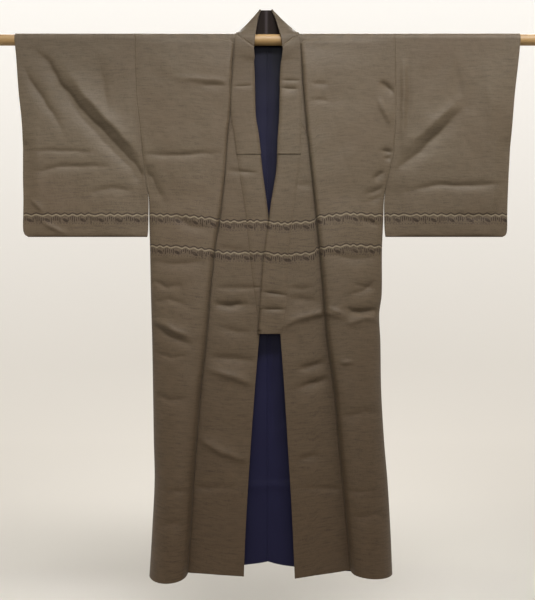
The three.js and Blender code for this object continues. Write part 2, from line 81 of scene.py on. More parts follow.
SIDES = {
    "right": dict(
        sign=-1,
        plane="under",
        neck_top=19.3,
        neck_turn=34,
        hem=dict(fold=-7, roll=-7, side=-17, edge=-17, back=8, peak=8),
        front=table("z side fold roll", [
            (0, 331, 84, 0), (-60, 331, 87.5, 0), (-150, 327.5, 91, 0), (-200, 322, 94.5, 1),
            (-250, 317, 100, 2), (-300, 312.5, 103, 3), (-350, 306, 107, 5), (-400, 298.2, 112.5, 8),
            (-450, 297, 118.5, 12), (-530, 295, 131, 17), (-640, 293, 142.5, 24),
            (-760, 290, 153, 31), (-880, 288, 166, 38), (-1010, 286, 176, 44),
            (-1110, 284, 184, 49), (-1240, 291, 192, 54), (-1330, 297, 199.5, 56)]),
        collar=table("z seam free", [
            (-60, 83.5, 34), (-105, 88, 33), (-150, 91, 32), (-195, 90.5, 30.5), (-245, 83, 22.5),
            (-290, 77, 17.5), (-340, 70, 12), (-410, 59, 2.5), (-455, 53, -3.5), (-530, 45.5, -12.5),
            (-605, 37, -20), (-670, 28.5, -27), (-739, 20, -34)]),
        edge=table("z edge", [
            (-739, 20), (-870, 31), (-1065, 45), (-1245, 56), (-1342, 59.5)]),
        sleeve=table("z cuff arm", [
            (0, 633, 331), (-50, 628.5, 331), (-134, 623, 328), (-209, 616, 322), (-294, 615, 313),
            (-350, 615, 306), (-400, 614, 299.5), (-441, 614.5, 299.4), (-478, 614.5, 300.4),
            (-491, 609.5, 301.6), (-495, 602, 302.6)]),
    ),
    "left": dict(
        sign=1,
        plane="over",
        neck_top=12.2,
        neck_turn=38,
        hem=dict(fold=1, roll=-3, side=-12, edge=-21, back=3, peak=14),
        front=table("z side fold roll", [
            (0, 318, 83, 0), (-60, 319.5, 86, 0), (-150, 321, 91.5, 0), (-200, 320, 96, 1),
            (-250, 318.5, 101, 2), (-300, 313, 106.5, 3), (-350, 301.5, 112, 5), (-400, 292.7, 117, 8),
            (-450, 290.8, 122, 12), (-530, 287.5, 129.5, 17), (-640, 287, 139.5, 24),
            (-690, 281, 143.5, 27), (-760, 284, 150, 31), (-880, 286, 166.5, 37),
            (-1010, 293.5, 178, 42), (-1110, 302, 187.5, 46), (-1240, 310, 200, 48),
            (-1330, 314, 207.5, 50)]),
        collar=table("z seam free", [
            (-60, 83, 34), (-105, 83, 32), (-150, 83, 31.5), (-195, 83, 30.5), (-245, 83, 27),
            (-290, 82, 25), (-340, 77, 21), (-410, 68, 9.5), (-455, 62, 3.5), (-530, 53.5, -7),
            (-605, 49.5, -14.5), (-655, 47.5, -18.5), (-739, 34, -25)]),
        edge=table("z edge", [
            (-739, 32), (-862, 41), (-1040, 52), (-1220, 63), (-1349, 69)]),
        sleeve=table("z cuff arm", [
            (0, 633, 318), (-50, 628.5, 319), (-141, 619, 321), (-243, 612, 319), (-329, 607, 306),
            (-350, 606, 301.5), (-400, 604, 294), (-441, 603, 293.4), (-478, 602.5, 294.6),
            (-491, 599, 296), (-495, 592, 297)]),
    ),
}
# Half the depth between front and back cloth: at the armhole and side seam, in the middle of the
# sleeve and at the cuff, whose lower part is sewn shut
DEPTHS = table("z arm middle cuff", [
    (0, CLOTH_ROUND, CLOTH_ROUND, CLOTH_ROUND), (-50, 14.5, 14.6, 14.6), (-100, 13.4, 13.6, 13.4),
    (-200, 11, 11.6, 10), (-240, 10, 10.8, 6), (-270, 9.2, 10.2, PINCHED), (-300, 8.4, 9.6, PINCHED),
    (-350, 6, 8.6, PINCHED), (-400, PINCHED, 7.6, PINCHED), (-450, PINCHED, 6.4, PINCHED),
    (-495, PINCHED, 3.6, PINCHED)])
PLANES = table("z seam under over back", [
    (0, 0, -CLOTH_ROUND, -CLOTH_ROUND, CLOTH_ROUND), (-150, 0, -13.6, -16.4, CLOTH_ROUND),
    (-300, 0, -12, -17.2, 15), (-450, 0, -12, -17.2, 15), (-800, 5, -12, -17.2, 15),
    (-1350, 8, -11, -16, 15)])


def at(rows, column, z):
    """The value of a table's column at a level, on a smooth curve through its rows."""
    levels, values = rows["z"], rows[column]
    z = np.clip(np.asarray(z, float), levels[-1], levels[0])
    k = np.clip(np.searchsorted(-levels, -z, side="left") - 1, 0, len(levels) - 2)
    before = np.maximum(np.arange(len(levels)) - 1, 0)
    after = np.minimum(np.arange(len(levels)) + 1, len(levels) - 1)
    slope = (values[after] - values[before]) / (levels[after] - levels[before])
    span = levels[k + 1] - levels[k]
    t = (z - levels[k]) / span
    rise = t * t * (3 - 2 * t)
    tangents = slope[k] * t * (1 - t) ** 2 - slope[k + 1] * t * t * (1 - t)
    return values[k] + (values[k + 1] - values[k]) * rise + tangents * span


def ease(t):
    c = np.clip(t, 0, 1)
    return c * c * (3 - 2 * c)


def mix(a, b, t):
    return a + (b - a) * t


# Creases of the hanging cloth, each listed as a path of (x, z) points, the width of the slope above it
# and its depth. A trough has a positive depth, a ridge a negative one.
LOWER_SLOPE = 1.7
CREASE_SOFT = 0.12
CREASE_FALL = 1.2
CREASE_BEND = 1.15
CREASE_WANDER = 3.0
DEEPER = 2.7
LOWER_DEEPER = 1.2
DEEPER_START = 430
DEEPER_RUN = 200
FRONT_CREASES = [
    # right sleeve: the long diagonal folds that run down to the armhole, and its fine ones
    ([(-626, -4), (-584, -26), (-546, -60), (-513, -124), (-470, -176)], 9, 3.0),
    ([(-530, -92), (-472, -176), (-413, -236), (-368, -285), (-300, -352)], 13, 6.4),
    ([(-500, -84), (-452, -150), (-394, -210), (-350, -258), (-300, -308)], 14, -4.2),
    ([(-620, -58), (-590, -110), (-557, -156), (-532, -197), (-514, -228)], 8, 2.4),
    ([(-597, -281), (-520, -279), (-434, -283)], 4, 1.3),
    ([(-594, -337), (-524, -319), (-389, -319)], 5, 1.6),
    ([(-599, -397), (-562, -432)], 4, -1.6),
    ([(-567, -459), (-507, -489)], 4, -1.5),
    ([(-448, -388), (-392, -372), (-330, -378)], 6, 1.3),
    ([(-420, -60), (-405, -150), (-396, -210)], 12, 1.6),
    # left sleeve
    ([(493, -172), (418, -247), (376, -287), (323, -324)], 12, 4.0),
    ([(474, -158), (402, -226), (352, -268)], 13, -2.4),
    ([(337, -29), (340, -150), (336, -279)], 8, -2.2),
    ([(352, -40), (356, -140), (351, -250)], 5, 1.3),
    ([(351, -382), (426, -364), (478, -367), (598, -362)], 6, 2.3),
    ([(540, -60), (560, -170), (556, -260)], 14, -1.5),
    ([(470, -60), (486, -150)], 10, 1.2),
    ([(430, -438), (520, -446), (590, -440)], 8, 1.1),
    # left body
    ([(283, -107), (318, -134)], 6, 2.6),
    ([(286, -282), (318, -281)], 4, 2.4),
    ([(290, -299), (314, -297)], 4, 2.2),
    ([(276, -147), (308, -217)], 6, -2.2),
    ([(90, -8), (141, -24), (152, -70)], 3, 0.7),
    ([(146, -80), (151, -114), (161, -182), (188, -292), (221, -382), (253, -499)], 3, 0.5),
    ([(108, -116), (153, -116)], 4, 1.2),
    ([(108, -157), (153, -158)], 4, 1.0),
    ([(33, -104), (81, -104)], 3, 1.1),
    ([(33, -124), (78, -129)], 6, 1.8),
    ([(193, -677), (232, -683), (275, -680)], 7, 4.0),
    ([(31, -727), (63, -707), (143, -684), (201, -704)], 7, -2.6),
    ([(190, -716), (240, -700), (280, -704)], 8, -2.4),
    ([(-17, -634), (51, -642)], 4, 1.5),
    ([(-17, -677), (46, -677)], 4, 1.5),
    ([(73, -827), (148, -809)], 6, 2.4),
    ([(76, -874), (158, -849)], 7, 2.6),
    ([(76, -1054), (131, -1039)], 5, 1.5),
    ([(176, -809), (216, -809)], 4, -1.4),
    ([(52, -1122), (180, -1126), (300, -1121)], 4, 1.0),
    ([(201, -643), (240, -630), (275, -603)], 6, 1.5),
    ([(212, -612), (274, -628)], 5, 1.2),
    ([(146, -672), (196, -695)], 4, -1.5),
    ([(51, -622), (84, -628), (116, -617)], 4, 1.0),
    ([(51, -650), (126, -655)], 9, 1.4),
    ([(70, -364), (111, -368)], 4, 1.0),
    ([(246, -390), (292, -372)], 6, 1.9),
    ([(262, -353), (294, -333)], 6, 2.1),
    ([(250, -408), (290, -394)], 5, 1.4),
    ([(226, -452), (284, -470)], 7, 1.3),
    ([(140, -540), (210, -552), (280, -546)], 9, 1.4),
    ([(180, -945), (240, -930), (290, -936)], 10, 1.6),
    ([(210, -1190), (262, -1178), (300, -1184)], 9, 1.5),
    # right body
    ([(-340, -312), (-318, -334), (-296, -350), (-262, -400)], 10, 4.0),
    ([(-312, -289), (-210, -291), (-119, -288)], 5, 1.9),
    ([(-164, -119), (-104, -119)], 4, 1.5),
    ([(-232, -99), (-165, -106), (-99, -112)], 6, -1.6),
    ([(-84, -122), (-34, -117)], 3, 1.0),
    ([(-102, -329), (-24, -337)], 4, 1.3),
    ([(-132, -622), (-4, -622)], 4, 1.3),
    ([(-137, -664), (-90, -667), (-44, -663)], 6, 3.0),
    ([(-284, -704), (-236, -728), (-189, -747)], 8, -3.0),
    ([(-289, -716), (-240, -742), (-190, -764)], 7, 1.8),
    ([(-147, -794), (-27, -807)], 8, 2.0),
    ([(-149, -827), (-92, -846), (-34, -867)], 8, -2.4),
    ([(-172, -1002), (-117, -1034), (-49, -1059)], 8, -2.5),
    ([(-290, -1122), (-180, -1124), (-60, -1121)], 4, 1.0),
    ([(-290, -604), (-250, -622), (-206, -618)], 6, 1.3),
    ([(-286, -660), (-246, -650), (-200, -668)], 7, 1.5),
    ([(-288, -782), (-238, -796), (-196, -790)], 6, 1.2),
    ([(-126, -520), (-80, -530), (-50, -526)], 6, 0.9),
    ([(-120, -720), (-78, -734), (-40, -730)], 6, 1.2),
    ([(-292, -556), (-230, -566), (-150, -558)], 9, 1.5),
    ([(-286, -890), (-240, -902), (-196, -896)], 9, 1.7),
    ([(-284, -1210), (-240, -1196), (-206, -1200)], 9, 1.5),
    ([(-240, -440), (-190, -470), (-140, -478)], 10, 1.4),
]
BACK_CREASES = [
    ([(-560, -40), (-470, -150), (-380, -262), (-326, -330)], 12, 5.0),
    ([(-600, -90), (-540, -180), (-505, -240)], 8, 2.6),
    ([(-590, -330), (-500, -322), (-400, -326)], 5, 1.5),
    ([(505, -150), (430, -230), (370, -290), (322, -326)], 11, 4.6),
    ([(350, -380), (450, -368), (592, -372)], 6, 1.8),
    ([(-300, -352), (-262, -404), (-215, -440)], 10, 3.4),
    ([(300, -350), (268, -398), (226, -430)], 10, 3.0),
    ([(-250, -160), (-120, -170), (-20, -166)], 6, 1.4),
    ([(20, -240), (120, -232), (240, -244)], 6, 1.4),
    ([(-270, -640), (-160, -652), (-40, -646)], 7, 2.2),
    ([(40, -700), (150, -690), (262, -702)], 7, 2.4),
    ([(-262, -860), (-180, -880), (-70, -868)], 9, 1.9),
    ([(30, -980), (140, -968), (262, -984)], 9, 1.8),
    ([(-255, -1122), (0, -1124), (285, -1121)], 4, 1.0),
    ([(-150, -430), (-162, -640), (-156, -820)], 16, 1.8),
    ([(140, -460), (152, -700), (146, -900)], 16, 1.7),
]


WANDER_SIZE = 30
WANDER_SEEDS = (53, 71)


def wander(x, z, seed):
    """Low noise that keeps a crease from running straight."""
    pairs = zip(np.ravel(x) / WANDER_SIZE, np.ravel(z) / WANDER_SIZE)
    return np.array([noise.noise(Vector((a, b, seed))) for a, b in pairs]).reshape(np.shape(x))


def crease_depth(x, z, creases):
    """How far the creases push the cloth in: a steep slope above each line and a long one below."""
    push = np.zeros(np.shape(x))
    aside = wander(x, z, WANDER_SEEDS[0])
    x, z = x + CREASE_WANDER * aside, z + CREASE_WANDER * wander(x, z, WANDER_SEEDS[1])
    for path, width, depth in creases:
        points = np.array(path, float)
        spans = np.linalg.norm(np.diff(points, axis=0), axis=1)
        starts = np.concatenate([[0], np.cumsum(spans)])
        nearest = np.full(np.shape(x), np.inf)
        along = np.zeros(np.shape(x))
        upper = np.zeros(np.shape(x), bool)
        for k, span in enumerate(spans):
            dx, dz = points[k + 1] - points[k]
            t = np.clip(((x - points[k][0]) * dx + (z - points[k][1]) * dz) / span ** 2, 0, 1)
            ax, az = x - points[k][0] - t * dx, z - points[k][1] - t * dz
            off = np.hypot(ax, az)
            here = off < nearest
            along = np.where(here, (starts[k] + t * span) / starts[-1], along)
            heading = dx if abs(dx) > abs(dz) / 3 else 1
            upper = np.where(here, (dx * az - dz * ax) * heading > 0, upper)
            nearest = np.minimum(nearest, off)
        d = nearest / (width * np.where(upper == (depth > 0), 1, LOWER_SLOPE))
        groove = np.exp(-CREASE_FALL * (np.hypot(d, CREASE_SOFT) - CREASE_SOFT) ** CREASE_BEND)
        more = DEEPER * mix(1, LOWER_DEEPER, ease((-z - DEEPER_START) / DEEPER_RUN))
        push += more * depth * np.sin(np.pi * np.clip(along, 0.03, 0.97)) ** 0.8 * groove
    return push


BROAD_RIPPLE = 2.4
SOFT_RIPPLE = 1.1
FINE_RIPPLE = 0.22
BROAD_START = 300
FRONT_SEED = 3
BACK_SEED = 31
HANG_START = 12
HANG_RUN = 70


def ripple(x, z, seed):
    """The small unevenness of cloth that has been folded away and hung up."""
    flat_x, flat_z = np.ravel(x), np.ravel(z)
    out = np.empty(len(flat_x))
    for k, (a, b) in enumerate(zip(flat_x, flat_z)):
        broad = noise.noise(Vector((a / 90, b / 420, seed)))
        soft = noise.noise(Vector((a / 46, b / 60, seed + 7)))
        fine = noise.noise(Vector((a / 17, b / 15, seed + 19)))
        broad *= min(1, -b / BROAD_START)
        out[k] = BROAD_RIPPLE * broad + SOFT_RIPPLE * soft + FINE_RIPPLE * fine
    return out.reshape(np.shape(x))


def relief(x, z, back=False):
    """Depth of creases and ripples, which fade out where the cloth lies on the pole."""
    creases = BACK_CREASES if back else FRONT_CREASES
    hang = ease((-z - HANG_START) / HANG_RUN)
    return hang * (crease_depth(x, z, creases) + ripple(x, z, BACK_SEED if back else FRONT_SEED))


def inner_edge(s, z):
    """Inner edge of the front: under the collar, and below the overlap panel's tip on its seam."""
    high = at(s["collar"], "seam", z) - COLLAR_LAP - ease((z + 60) / 60) * NECK_DRAW
    low = at(s["front"], "fold", z) + FOLD_COVER
    tip = -KENSAKI_DROP
    top = at(s["collar"], "seam", tip) - COLLAR_LAP
    end = at(s["front"], "fold", tip - KENSAKI_LENGTH) + FOLD_COVER
    slant = mix(top, end, (tip - z) / KENSAKI_LENGTH)
    return np.where(z >= tip, high, np.where(z <= tip - KENSAKI_LENGTH, low, slant))


ROLL_COLUMNS = 52
LAYER_COLUMNS = 5
BEND_COLUMNS = 7
EVEN_COLUMNS = 0.35
FLAT_SPREAD = 1.3


def pleat_step(z):
    """How far the pleat's outer layer stands out: flat on the pole, and full a hand's breadth lower."""
    return OUTER_STEP * mix(STEP_AT_POLE, 1, ease(-z / STEP_RUN))


def outer_layer(s, z, columns):
    """The rolled outer layer of a front at one level, from the pleat's edge to the side seam."""
    side = at(s["front"], "side", z) - SEWN
    fold = at(s["front"], "fold", z)
    near = at(PLANES, s["plane"], z) - HIDDEN_STEP - pleat_step(z)
    far = at(PLANES, "seam", z) - at(DEPTHS, "arm", z)
    turn = np.pi * np.arange(columns + 1) / columns
    t = mix((1 - np.cos(turn)) / 2, turn / np.pi, EVEN_COLUMNS)
    rise = np.sqrt(np.clip(1 - (1 - 2 * t) ** 2, 0, 1))
    short = np.clip(1 - t * (side - fold) / EDGE_RUN, 0, 1)
    edge = (pleat_step(z) - 1) * (1 - np.sqrt(1 - short ** 2))
    depth = mix(near, far, t) + edge - at(s["front"], "roll", z) * rise
    return np.stack([mix(fold, side, t), depth], 1)


def front_section(s, z):
    """Section of a front at a level, from its inner edge round the pleat to the side seam."""
    inner = float(inner_edge(s, z))
    fold = float(at(s["front"], "fold", z))
    plane = float(at(PLANES, s["plane"], z))
    outer = outer_layer(s, z, ROLL_COLUMNS)
    length = np.linalg.norm(np.diff(outer, axis=0), axis=1).sum()
    spare = (FRONT_WIDTH - length - (fold - inner)) / 2
    seam = float(at(s["collar"], "seam", z)) if z > -KENSAKI_DROP else inner
    reach = max(spare, seam + FOLD_ROUND / 2 - fold + FOLD_ROUND, FOLD_ROUND)
    bend = min(FOLD_ROUND, reach / 2)
    first = [(u, plane) for u in np.linspace(inner, fold + reach - FOLD_ROUND, LAYER_COLUMNS)]
    half = HIDDEN_STEP / 2
    turn = np.pi * (np.arange(1, BEND_COLUMNS) / BEND_COLUMNS)
    near, far = fold + bend, fold + reach - bend
    middle = plane - half
    back_turn = [(far + bend * math.sin(a), middle + half * math.cos(a)) for a in turn]
    second = [(u, plane - HIDDEN_STEP) for u in np.linspace(far + 0.1, near - 0.1, LAYER_COLUMNS)]
    turn = turn / 2
    edge = [(near - bend * math.sin(a), plane - HIDDEN_STEP - 1 + math.cos(a)) for a in turn]
    pleat = np.array(first + back_turn + second + edge)
    section = np.concatenate([pleat, outer])
    count = len(section)
    set_in = float(ease((-z - FOLD_START) / (FOLD_SET - FOLD_START)))
    side = outer[-1, 0]
    start = float(at(s["collar"], "seam", z)) + FOLD_ROUND / 2
    share = (np.arange(1, count) - 1) / (count - 2)
    flat = np.concatenate([[inner], mix(start, side, share ** FLAT_SPREAD)])
    hang = mix(plane, outer[-1, 1], ease((flat - inner) / (side - inner)))
    return np.stack([mix(flat, section[:, 0], set_in), mix(hang, section[:, 1], set_in)], 1)


def back_depth(s, u, z):
    """Depth of the back cloth, which curves forward to the side seam."""
    side = at(s["front"], "side", z)
    edge = at(PLANES, "seam", z) + at(DEPTHS, "arm", z)
    return mix(at(PLANES, "back", z), edge, ease((u / side - 0.5) / 0.5))


# A crease may take up only a part of the free depth between front and back cloth
PLEAT_REACH = 40
FRONT_PUSH = 0.5
BACK_PUSH = 0.35
ROOM_KEPT = 2
MOST_PUSH = 9.5
EDGE_CALM = 12


def room_behind(s, u, z):
    """Free depth between the front and back cloth at one level."""
    outer = outer_layer(s, z, ROLL_COLUMNS)
    rolled = np.interp(u, outer[:, 0], outer[:, 1])
    front = np.where(u < outer[0, 0] + PLEAT_REACH, at(PLANES, s["plane"], z), rolled)
    return back_depth(s, u, z) - front


def hem_share(z):
    """How much of the hem's own slant a level has: none above the hem's start."""
    return ease((-z - HEM_START) / (HEM_DROP - HEM_START))


def back_points(s, shares, z):
    """Points across the back of a panel at one level."""
    u = mix(0, at(s["front"], "side", z) - SEWN, shares)
    hem = mix(s["hem"]["back"], s["hem"]["side"], ease(shares)) + s["hem"]["peak"] * np.exp(-u / HEM_PEAK)
    low = z + hem_share(z) * hem
    x = s["sign"] * u
    edge = np.clip((1 - shares) * EDGE_CALM, 0, 1)
    push = relief(x, np.full(len(x), z), True) * edge
    most = np.maximum(BACK_PUSH * room_behind(s, u, z) - ROOM_KEPT, 0)
    return np.stack([x, back_depth(s, u, z) - np.minimum(push, most), low], 1)


def cloth_sheet(name, grid, across, down, wall, materials, turned=False, loop=False, thin=None):
    """A sheet of cloth through a grid of points, with its own flat cloth coordinates as a UV map."""
    rows, columns = grid.shape[:2]
    there = ~np.isnan(grid[:, :, 0])
    number = np.full((rows, columns), -1)
    cells = []
    for i in range(rows if loop else rows - 1):
        n = (i + 1) % rows
        for j in range(columns - 1):
            corners = [(i, j), (n, j), (n, j + 1), (i, j + 1)]
            if all(there[c] for c in corners):
                cells.append(corners)
                for c in corners:
                    number[c] = 0
    used = number == 0
    number[used] = np.arange(used.sum())
    if turned:
        cells = [corners[::-1] for corners in cells]
    faces = [[int(number[c]) for c in corners] for corners in cells]
    mesh = bpy.data.meshes.new(name + "_cloth")
    mesh.from_pydata((grid[used] * MM).tolist(), [], faces)
    layer = mesh.uv_layers.new(name="cloth")
    flat = []
    for corners in cells:
        closing = max(i for i, _ in corners) == rows - 1 and min(i for i, _ in corners) == 0
        for i, j in corners:
            flat += [across[i, j] * MM, (down[-1, j] if closing and i == 0 else down[i, j]) * MM]
    layer.data.foreach_set("uv", flat)
    for face in mesh.polygons:
        face.use_smooth = True
    piece = bpy.data.objects.new(name + "_cloth", mesh)
    bpy.context.scene.collection.objects.link(piece)
    for material in materials:
        mesh.materials.append(material)
    solid = piece.modifiers.new("wall", "SOLIDIFY")
    solid.thickness = wall * MM
    solid.offset = 0
    solid.use_even_offset = False
    solid.material_offset = 1
    solid.material_offset_rim = 0
    if thin is not None:
        group = piece.vertex_groups.new(name="wall")
        for point in zip(*np.nonzero(used)):
            group.add([int(number[point])], float(thin[point]), "REPLACE")
        solid.vertex_group = "wall"
    plain = piece.modifiers.new("faces", "WEIGHTED_NORMAL")
    plain.weight = 100
    return piece


def node_maker(material):
    """Short calls that add a node to a material and return its output."""
    tree = material.node_tree

    def link(node, k, value):
        if isinstance(value, bpy.types.NodeSocket):
            tree.links.new(value, node.inputs[k])
        elif value is not None:
            node.inputs[k].default_value = value

    def calc(operation, a, b=None, c=None):
        node = tree.nodes.new("ShaderNodeMath")
        node.operation = operation
        for k, value in enumerate((a, b, c)):
            link(node, k, value)
        return node.outputs[0]

    def grain(vector, scale, detail=2.0, size=(1, 1, 1)):
        place = tree.nodes.new("ShaderNodeMapping")
        place.inputs["Scale"].default_value = size
        tree.links.new(vector, place.inputs["Vector"])
        node = tree.nodes.new("ShaderNodeTexNoise")
        node.inputs["Scale"].default_value = scale
        node.inputs["Detail"].default_value = detail
        tree.links.new(place.outputs[0], node.inputs["Vector"])
        return node.outputs["Fac"]

    def blend(share, a, b):
        node = tree.nodes.new("ShaderNodeMix")
        node.data_type = "RGBA"
        link(node, 0, share)
        link(node, 6, a)
        link(node, 7, b)
        return node.outputs[2]

    def bump(height, strength, distance, normal=None):
        node = tree.nodes.new("ShaderNodeBump")
        node.inputs["Strength"].default_value = strength
        node.inputs["Distance"].default_value = distance
        tree.links.new(height, node.inputs["Height"])
        if normal is not None:
            tree.links.new(normal, node.inputs["Normal"])
        return node.outputs[0]

    return tree, calc, grain, blend, bump


OLIVE = (0.098, 0.0735, 0.0465, 1)
OLIVE_DARK = (0.048, 0.0335, 0.0195, 1)
OLIVE_RED = (0.080, 0.052, 0.030, 1)
SHADED_OLIVE = (0.098, 0.0635, 0.0355, 1)
SHADED_OLIVE_DARK = (0.040, 0.0255, 0.0145, 1)
INK = (0.012, 0.005, 0.002, 1)
PALE = (0.245, 0.205, 0.140, 1)
BAND_WAVE = 0.0225
BAND_SWING = 0.0017
PALE_DROP = 0.0042
TUFT_STEP = 0.045
TUFT_DROP = 0.0165
DASH_STEP = 0.0052
DASH_TOP = 0.0085
DOT_STEP = 0.0075
DOT_DROP = 0.0250
DARK_HALF = 0.0013
PALE_HALF = 0.0014
TUFT_HALF = (0.0076, 0.0044)
TUFT_TILT = 0.35
TUFT_ROOM = 0.0062
DOT_HALF_HEIGHT = 0.0017
BAND_FOOT = 0.0235


def silk(name, levels):
    """Olive slub silk: an uneven plain weave with soft sheen, and a woven band at each level."""
    material = bpy.data.materials.new(name)
    material.use_nodes = True
    tree, calc, grain, blend, bump = node_maker(material)
    shader = tree.nodes["Principled BSDF"]
    flat = tree.nodes.new("ShaderNodeUVMap")
    flat.uv_map = "cloth"
    place = tree.nodes.new("ShaderNodeTexCoord").outputs["Object"]
    split = tree.nodes.new("ShaderNodeSeparateXYZ")
    tree.links.new(flat.outputs[0], split.inputs[0])
    u, v = split.outputs[0], split.outputs[1]

    def held(value, low=0.0, high=1.0):
        return calc("MINIMUM", calc("MAXIMUM", value, low), high)

    def spot(a, half_width, b, half_height):
        flat_part = calc("POWER", calc("ABSOLUTE", calc("DIVIDE", a, half_width)), 2.0)
        upright = calc("POWER", calc("ABSOLUTE", calc("DIVIDE", b, half_height)), 2.0)
        return calc("ADD", flat_part, upright)

    def cell(step):
        return calc("SUBTRACT", calc("FRACT", calc("DIVIDE", u, step)), 0.5)

    weft = grain(flat.outputs[0], 1, 3, (55, 1000, 1))
    warp = grain(flat.outputs[0], 1, 2, (850, 60, 1))
    slub = grain(flat.outputs[0], 1, 3, (34, 260, 1))
    streak = grain(flat.outputs[0], 1, 2, (9, 120, 1))
    speck = grain(flat.outputs[0], 520, 2)
    cloud = grain(place, 3.4, 3)
    tone = calc("MULTIPLY_ADD", weft, 0.5, calc("MULTIPLY_ADD", warp, 0.5, calc("MULTIPLY", speck, 0.9)))
    tone = calc("MULTIPLY_ADD", slub, 0.8, calc("MULTIPLY_ADD", streak, 0.35, tone))
    tone = held(calc("MULTIPLY_ADD", tone, 1.9, -2.09))
    height = tree.nodes.new("ShaderNodeSeparateXYZ")
    tree.links.new(place, height.inputs[0])
    # Painted shade: the cloth turns darker and browner towards the hem, and the paler olive at the top
    # stands for the light and sheen that fall there.
    painted_low_shade = held(calc("MULTIPLY_ADD", height.outputs[2], -1.0, -0.28))
    colour = blend(painted_low_shade, blend(tone, OLIVE_DARK, OLIVE), blend(tone, SHADED_OLIVE_DARK, SHADED_OLIVE))
    patch = held(calc("MULTIPLY_ADD", cloud, 3.0, -1.35))
    colour = blend(calc("MULTIPLY", patch, 0.5), colour, OLIVE_RED)
    drift = grain(flat.outputs[0], 1, 1, (14, 0.01, 1))
    lengths = grain(flat.outputs[0], 1, 2, (110, 0.01, 1))
    wear_and_highlight = grain(flat.outputs[0], 190, 2)
    waves = calc("MULTIPLY_ADD", drift, 11.0, calc("MULTIPLY", u, 2 * math.pi / BAND_WAVE))
    swing = calc("MULTIPLY", calc("SINE", waves), BAND_SWING)
    fade = held(calc("MULTIPLY_ADD", wear_and_highlight, 1.6, 0.1))
    tuft_cell = calc("MULTIPLY", cell(TUFT_STEP), TUFT_STEP)
    stripe = calc("LESS_THAN", calc("ABSOLUTE", cell(DASH_STEP)), 0.24)
    beside = calc("GREATER_THAN", calc("ABSOLUTE", tuft_cell), TUFT_ROOM)
    for level in levels:
        w = calc("SUBTRACT", v, level)
        line = calc("SUBTRACT", w, swing)
        dark = calc("COMPARE", line, 0.0, DARK_HALF)
        light = calc("COMPARE", line, PALE_DROP, PALE_HALF)
        tilt = calc("MULTIPLY_ADD", tuft_cell, TUFT_TILT, TUFT_DROP)
        tuft = spot(tuft_cell, TUFT_HALF[0], calc("SUBTRACT", w, tilt), TUFT_HALF[1])
        tuft = calc("LESS_THAN", calc("MULTIPLY_ADD", wear_and_highlight, 1.5, tuft), 1.65)
        foot = calc("MULTIPLY_ADD", lengths, 0.050, -0.007)
        tall = calc("MULTIPLY", calc("GREATER_THAN", line, DASH_TOP), calc("LESS_THAN", w, foot))
        dash = calc("MULTIPLY", calc("MULTIPLY", stripe, tall), beside)
        dot = spot(cell(DOT_STEP), 0.24, calc("SUBTRACT", w, DOT_DROP), DOT_HALF_HEIGHT)
        dot = calc("LESS_THAN", calc("MULTIPLY_ADD", wear_and_highlight, 1.2, dot), 1.3)
        under = calc("MULTIPLY", calc("GREATER_THAN", line, PALE_DROP), calc("LESS_THAN", w, BAND_FOOT))
        marks = calc("MAXIMUM", calc("MULTIPLY", dash, 0.85), calc("MULTIPLY", dot, 0.40))
        marks = calc("MAXIMUM", marks, calc("MULTIPLY", tuft, 0.82))
        marks = calc("MAXIMUM", calc("MULTIPLY", marks, fade), calc("MULTIPLY", dark, 0.78))
        marks = calc("MAXIMUM", marks, calc("MULTIPLY", under, 0.09))
        colour = blend(marks, colour, INK)
        colour = blend(calc("MULTIPLY", light, calc("MULTIPLY", fade, 0.62)), colour, PALE)
    tree.links.new(colour, shader.inputs["Base Color"])
    tree.links.new(calc("MULTIPLY_ADD", weft, 0.16, 0.50), shader.inputs["Roughness"])
    shader.inputs["Specular IOR Level"].default_value = 0.24
    shader.inputs["Sheen Weight"].default_value = 0.03
    shader.inputs["Sheen Roughness"].default_value = 0.45
    shader.inputs["Sheen Tint"].default_value = (0.78, 0.76, 0.70, 1)
    weave = calc("ADD", calc("MULTIPLY", weft, 0.7), calc("MULTIPLY", warp, 0.4))
    soft = bump(grain(place, 24, 3), 0.3, 0.006)
    tree.links.new(bump(weave, 0.35, 0.0007, soft), shader.inputs["Normal"])
    return material


NAVY = (0.0125, 0.0118, 0.036, 1)
NAVY_DARK = (0.0025, 0.0023, 0.0060, 1)


def lining_silk(name):
    """Navy lining silk: smooth and close, with a soft lengthwise sheen."""
    material = bpy.data.materials.new(name)
    material.use_nodes = True
    tree, calc, grain, blend, bump = node_maker(material)
    shader = tree.nodes["Principled BSDF"]
    flat = tree.nodes.new("ShaderNodeUVMap")
    flat.uv_map = "cloth"
    place = tree.nodes.new("ShaderNodeTexCoord").outputs["Object"]
    warp = grain(flat.outputs[0], 1, 2, (700, 12, 1))
    broad = grain(place, 5, 2, (3.0, 1, 0.35))
    height = tree.nodes.new("ShaderNodeSeparateXYZ")
    tree.links.new(place, height.inputs[0])
    # The height term paints the lining darker towards the top: a painted shade.
    tone = calc("MULTIPLY_ADD", height.outputs[2], -0.8, calc("MULTIPLY_ADD", broad, 1.4, -0.85))
    colour = blend(calc("MULTIPLY_ADD", warp, 0.5, tone), NAVY_DARK, NAVY)
    tree.links.new(colour, shader.inputs["Base Color"])
    tree.links.new(calc("MULTIPLY_ADD", broad, 0.22, 0.30), shader.inputs["Roughness"])
    shader.inputs["Specular IOR Level"].default_value = 0.12
    tree.links.new(bump(warp, 0.2, 0.0004), shader.inputs["Normal"])
    return material


BODY_BANDS = (0.4405, 0.5190)
body_silk = silk("olive_silk_body", BODY_BANDS)
navy_silk = lining_silk("navy_lining")


def band_sag(x):
    """How much lower a woven band hangs than its level, across the fronts of the garment."""
    across = [-294, -200, -119, -110, -60, -10, 0, 40, 62, 118, 122, 200, 290]
    upper = [-3, 2, 12, 14, 14, 14, 16, 20, 18, 14, 5, -4, -1]
    return np.interp(x, across, upper)


